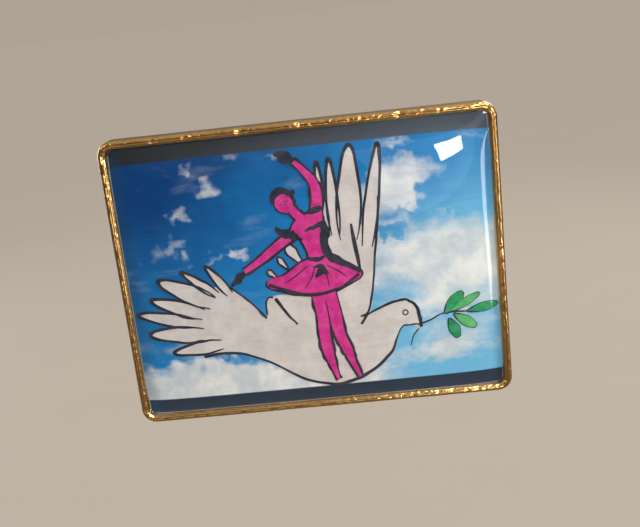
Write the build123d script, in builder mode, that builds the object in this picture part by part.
from build123d import *
import os

os.makedirs("parts", exist_ok=True)

# A rectangular domed lapel badge, standing upright as it is worn: the picture faces -Y, +X is to
# the viewer's right, +Z is up, and the post points back along +Y. The origin is on the pan's
# back face, at the root of the post. A butterfly clutch sits on the post, one cloth's thickness
# behind the pan.

# Pan: the gold-plated metal tray with its raised rim.
badge_width = 26.0
badge_height = 20.0
corner_radius = 1.0
pan_depth = 1.5
pan_floor = 0.6
rim_width = 0.6
pocket_corner_radius = 0.5
rim_round = 0.18
back_round = 0.2

# What lies in the pan: glue, picture and poured resin.
glue_thickness = 0.06
glue_margin = 0.5
label_thickness = 0.2
label_clearance = 0.05
resin_crown = 0.9
resin_sag_across = 0.28
resin_sag_upright = 0.22
resin_edge_round = 0.3

# Post: a flanged nail in a shallow recess of the pan's back.
post_radius = 0.55
post_length = 8.0
point_length = 0.9
point_flat_radius = 0.08
flange_radius = 1.5
flange_thickness = 0.25
solder_width = 0.5
solder_rise = 0.12
groove_first = 3.5
groove_spacing = 1.2
groove_count = 3
groove_width = 0.6
groove_depth = 0.17

# Butterfly clutch. Heights are measured from the plane of its rim, along +Y.
cloth_gap = 2.6
sheet = 0.25
clutch_radius = 5.65
clutch_rim_height = 0.45
clutch_curl = 0.23
dish_height = 0.62
boss_foot_radius = 3.2
boss_foot_height = 0.98
boss_taper = 0.25
boss_height = 3.85
boss_hole_clearance = 0.3
retainer_bottom = 0.7
retainer_hole_clearance = 0.15
window_bottom = 2.05
window_top = 3.25
window_side_clearance = 0.2

# The clutch's spring: a flat base with turned-up ends, and two ears with jaws.
spring_thickness = 0.2
spring_width = 2.6
spring_end_clearance = 0.12
spring_base_end_height = 2.2
spring_bend_radius = 0.25
spring_hole_clearance = 0.2
jaw_clearance = 0.03
jaw_gap = 0.1
jaw_height = 1.95
ear_knee_gap = 0.05
ear_knee_height = 2.77
ear_knee_radius = 0.5
ear_run = 1.95
ear_rise = 1.88
ear_start_gap = 0.25
ear_length = 1.85
ear_width = 4.4
ear_corner_radius = 0.85

# Sizes that follow from the ones above.
pocket_width = badge_width - 2 * rim_width
pocket_height = badge_height - 2 * rim_width
label_bottom = pan_floor + glue_thickness
label_top = label_bottom + label_thickness
resin_top = pan_depth + resin_crown
recess_radius = flange_radius + solder_width
boss_inner_foot_radius = boss_foot_radius - sheet
boss_top_radius = boss_foot_radius - boss_taper
spring_base_bottom = retainer_bottom + sheet
jaw_radius = post_radius + jaw_clearance
ear_knee_x = boss_foot_radius + ear_knee_gap
ear_start = boss_foot_radius + ear_start_gap
ear_end = ear_start + ear_length


def behind(height):
    """The y of a height above the clutch's rim plane."""
    return cloth_gap + height


def vault_radius(span, sag):
    """Radius of the arc that drops by sag over half of span."""
    return ((span / 2) ** 2 + sag**2) / (2 * sag)


def boss_inner_radius(height):
    """Radius of the boss's tapered inner wall at a height above the clutch's rim plane."""
    rise = (height - boss_foot_height) / (boss_height - sheet - boss_foot_height)
    return boss_inner_foot_radius - boss_taper * rise


# The pan: a rounded slab with a pocket in front and a round recess for the flange behind.
with BuildPart() as badge_tray:
    with BuildSketch(Plane.XZ):
        RectangleRounded(badge_width, badge_height, corner_radius)
    extrude(amount=pan_depth)
    with BuildSketch(Plane.XZ.offset(pan_floor)):
        RectangleRounded(pocket_width, pocket_height, pocket_corner_radius)
    extrude(amount=pan_depth - pan_floor, mode=Mode.SUBTRACT)
    fillet(badge_tray.faces().sort_by(Axis.Y)[0].edges(), rim_round)
    fillet(badge_tray.faces().sort_by(Axis.Y)[-1].edges(), back_round)
    with BuildSketch(Plane.XZ):
        Circle(recess_radius)
    extrude(amount=flange_thickness, mode=Mode.SUBTRACT)

# The glue: a thin film that stops short of the label's edge.
with BuildPart() as label_adhesive:
    with BuildSketch(Plane.XZ.offset(pan_floor)):
        Rectangle(pocket_width - 2 * glue_margin, pocket_height - 2 * glue_margin)
    extrude(amount=glue_thickness)

# The printed picture.
with BuildPart() as printed_label:
    with BuildSketch(Plane.XZ.offset(label_bottom)):
        RectangleRounded(
            pocket_width - 2 * label_clearance,
            pocket_height - 2 * label_clearance,
            pocket_corner_radius - label_clearance,
        )
    extrude(amount=label_thickness)

# The resin: it fills the pan to the rim and stands above it in one double-curved crown.
crown_radius_across = vault_radius(pocket_width, resin_sag_across)
crown_radius_upright = vault_radius(pocket_height, resin_sag_upright)
crown_axis = Axis((0, crown_radius_across - resin_top, 0), (0, 0, 1))
with BuildPart() as resin_dome:
    with BuildSketch(Plane.XZ.offset(label_top)):
        RectangleRounded(pocket_width, pocket_height, pocket_corner_radius)
    extrude(amount=resin_top - label_top)
    with BuildSketch(Plane.YZ):
        with BuildLine():
            crown = ThreePointArc(
                (resin_sag_upright - resin_top, pocket_height / 2),
                (-resin_top, 0),
                (resin_sag_upright - resin_top, -pocket_height / 2),
            )
            Polyline(
                crown @ 1,
                (crown_axis.position.Y, -pocket_height / 2),
                (crown_axis.position.Y, pocket_height / 2),
                crown @ 0,
            )
        make_face()
    revolve(axis=crown_axis, mode=Mode.INTERSECT)
    fillet(resin_dome.faces().sort_by(Axis.Y)[0].edges(), resin_edge_round)

# The post: flange, shank with locking grooves, and a short point.
post_profile = [
    (0, -flange_thickness),
    (flange_radius, -flange_thickness),
    (flange_radius, 0),
    (post_radius, 0),
]
for groove in range(groove_count):
    middle = groove_first + groove * groove_spacing
    lower, upper = middle - groove_width / 2, middle + groove_width / 2
    post_profile += [
        (post_radius, lower),
        (post_radius - groove_depth, lower + groove_depth / 2),
        (post_radius - groove_depth, upper - groove_depth / 2),
        (post_radius, upper),
    ]
post_profile += [
    (post_radius, post_length - point_length),
    (point_flat_radius, post_length),
    (0, post_length),
]
with BuildPart() as pin_post:
    with BuildSketch(Plane.XY):
        with BuildLine():
            Polyline(*post_profile, close=True)
        make_face()
    revolve(axis=Axis.Y)

# The solder: a ring between the flange's edge and the recess, raised against the flange.
with BuildPart() as post_solder:
    with BuildSketch(Plane.XY):
        with BuildLine():
            Polyline(
                (flange_radius, solder_rise),
                (flange_radius, -flange_thickness),
                (recess_radius, -flange_thickness),
                (recess_radius, 0),
            )
            ThreePointArc(
                (recess_radius, 0),
                (flange_radius + 0.4 * solder_width, solder_rise * 0.75),
                (flange_radius, solder_rise),
            )
        make_face()
    revolve(axis=Axis.Y)

# The clutch's shell: a dished disc with a turned rim, and a tapered boss with a window each side.
with BuildPart() as clutch_cup:
    with BuildSketch(Plane.XY):
        with BuildLine():
            Polyline(
                (post_radius + boss_hole_clearance, behind(boss_height - sheet)),
                (post_radius + boss_hole_clearance, behind(boss_height)),
                (boss_top_radius, behind(boss_height)),
                (boss_foot_radius, behind(boss_foot_height)),
                (clutch_radius - clutch_rim_height, behind(dish_height)),
                (clutch_radius, behind(clutch_rim_height)),
                (clutch_radius, behind(0)),
                (clutch_radius - clutch_curl, behind(0)),
                (clutch_radius - clutch_curl - 0.1, behind(dish_height - sheet)),
                (boss_inner_foot_radius, behind(boss_foot_height - sheet)),
                (boss_inner_foot_radius, behind(boss_foot_height)),
                (boss_top_radius - sheet, behind(boss_height - sheet)),
                close=True,
            )
        make_face()
    revolve(axis=Axis.Y)
    with BuildSketch(Plane.YZ):
        with Locations((behind((window_bottom + window_top) / 2), 0)):
            Rectangle(window_top - window_bottom, spring_width + 2 * window_side_clearance)
    extrude(amount=clutch_radius, both=True, mode=Mode.SUBTRACT)
    boss_top_edges = clutch_cup.edges().filter_by(GeomType.CIRCLE).group_by(Axis.Y)[-1]
    fillet(boss_top_edges.sort_by(SortBy.RADIUS)[-1], sheet)

# The plate that closes the boss and guides the post.
with BuildPart() as clutch_retainer:
    with BuildSketch(Plane.XZ.offset(-behind(retainer_bottom))):
        Circle(boss_inner_foot_radius)
        Circle(post_radius + retainer_hole_clearance, mode=Mode.SUBTRACT)
    extrude(amount=-sheet)

# The spring's flat middle lies on that plate, with its ends bent up beside the windows.
spring_base_line = behind(spring_base_bottom + spring_thickness / 2)
spring_corner_radius = boss_inner_radius(spring_base_end_height) - spring_end_clearance
spring_base_half_length = (spring_corner_radius**2 - (spring_width / 2) ** 2) ** 0.5
spring_end_x = spring_base_half_length - spring_thickness / 2
with BuildPart() as clutch_spring_base:
    with BuildSketch(Plane.XY):
        with BuildLine():
            FilletPolyline(
                (-spring_end_x, behind(spring_base_end_height)),
                (-spring_end_x, spring_base_line),
                (spring_end_x, spring_base_line),
                (spring_end_x, behind(spring_base_end_height)),
                radius=spring_bend_radius,
            )
        trace(line_width=spring_thickness)
    extrude(amount=spring_width / 2, both=True)
    with BuildSketch(Plane.XZ):
        Circle(post_radius + spring_hole_clearance)
    extrude(amount=-post_length, mode=Mode.SUBTRACT)

# One ear with its jaw: a bent strip, narrow inside the boss and wide outside, notched for the post.
with BuildPart() as clutch_wing_right:
    with BuildSketch(Plane.XY):
        with BuildLine():
            FilletPolyline(
                (0, behind(jaw_height)),
                (ear_knee_x, behind(ear_knee_height)),
                (ear_knee_x + ear_run, behind(ear_knee_height + ear_rise)),
                radius=ear_knee_radius,
            )
        trace(line_width=spring_thickness)
    extrude(amount=ear_width / 2, both=True)
    with BuildSketch(Plane.XZ):
        neck_end = (ear_start + ear_end) / 2
        with Locations(((jaw_gap / 2 + neck_end) / 2, 0)):
            Rectangle(neck_end - jaw_gap / 2, spring_width)
        with Locations((neck_end, 0)):
            RectangleRounded(ear_end - ear_start, ear_width, ear_corner_radius)
        Circle(jaw_radius, mode=Mode.SUBTRACT)
    extrude(amount=-2 * post_length, mode=Mode.INTERSECT)

with BuildPart() as clutch_wing_left:
    add(clutch_wing_right.part)
    mirror(about=Plane.YZ, mode=Mode.REPLACE)

pieces = {
    "badge_tray": badge_tray,
    "label_adhesive": label_adhesive,
    "printed_label": printed_label,
    "resin_dome": resin_dome,
    "pin_post": pin_post,
    "post_solder": post_solder,
    "clutch_cup": clutch_cup,
    "clutch_retainer": clutch_retainer,
    "clutch_spring_base": clutch_spring_base,
    "clutch_wing_right": clutch_wing_right,
    "clutch_wing_left": clutch_wing_left,
}
for node, piece in pieces.items():
    piece.part.label = node
    export_step(piece.part, f"parts/{node}.step")
